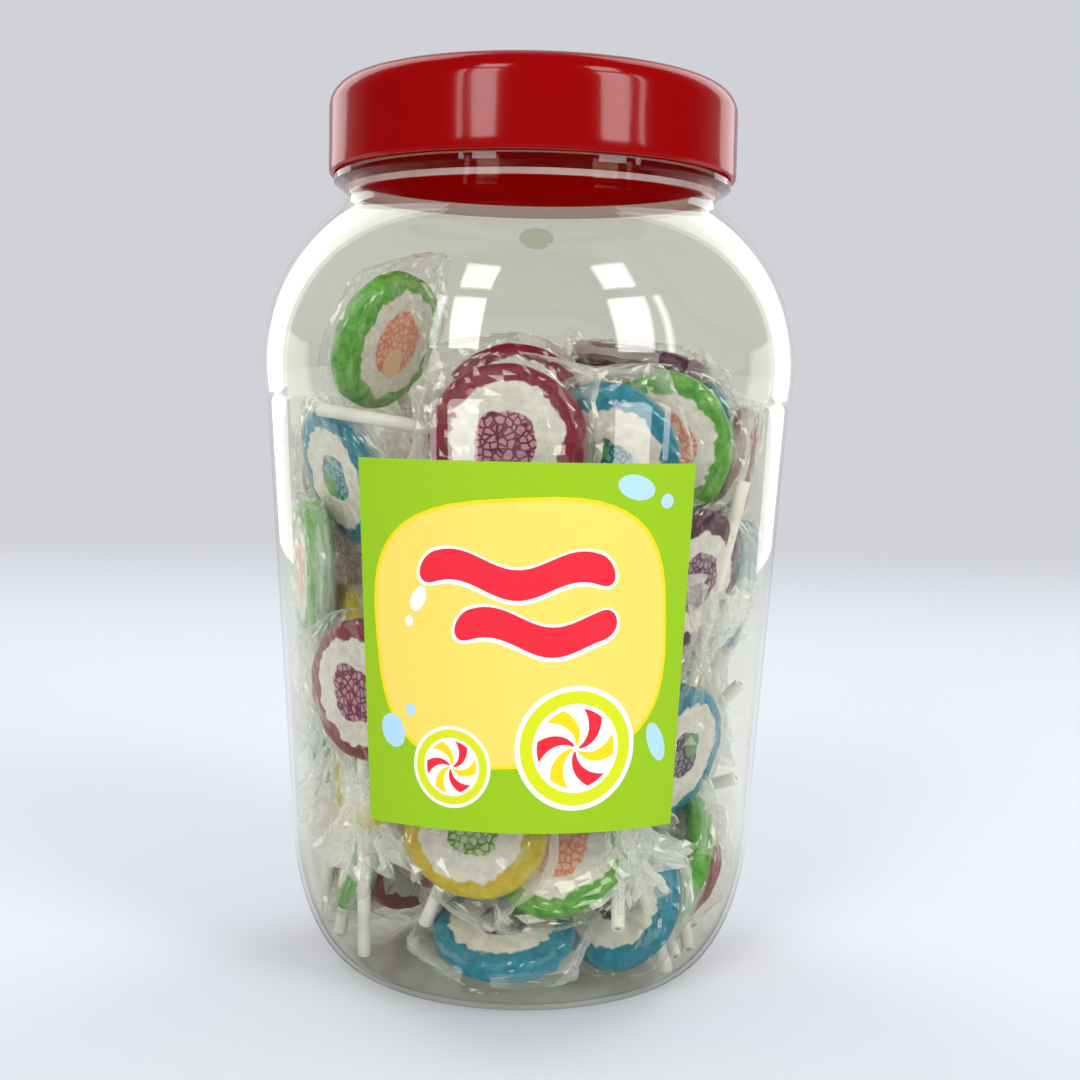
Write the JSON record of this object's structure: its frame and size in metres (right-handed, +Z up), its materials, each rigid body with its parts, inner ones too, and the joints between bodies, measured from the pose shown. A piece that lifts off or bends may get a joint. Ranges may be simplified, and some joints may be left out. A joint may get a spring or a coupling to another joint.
{
  "type": "jar of rock lollipops",
  "caption": "Clear plastic sweet jar with a red screw lid and a front label, full of round rock lollipops on sticks in clear film.",
  "frame": {"origin": "centre of the jar's base, on the surface it stands on", "axes": "+Z up along the jar's axis, -Y out through the middle of the label"},
  "size_m": [0.1492, 0.1492, 0.247],
  "materials": {
    "clear_plastic": "clear blow-moulded PET, glossy and slightly grey",
    "red_plastic": "glossy deep red moulded polypropylene",
    "printed_label": "coated label printed in lime green with a yellow field",
    "boiled_sugar": "boiled sugar slices with coloured rims, white paper sticks and clear film bags"
  },
  "bodies": {
    "root": {"jar": "clear_plastic", "lid": "red_plastic", "label": "printed_label", "lollipops": "boiled_sugar"}
  },
  "joints": []
}
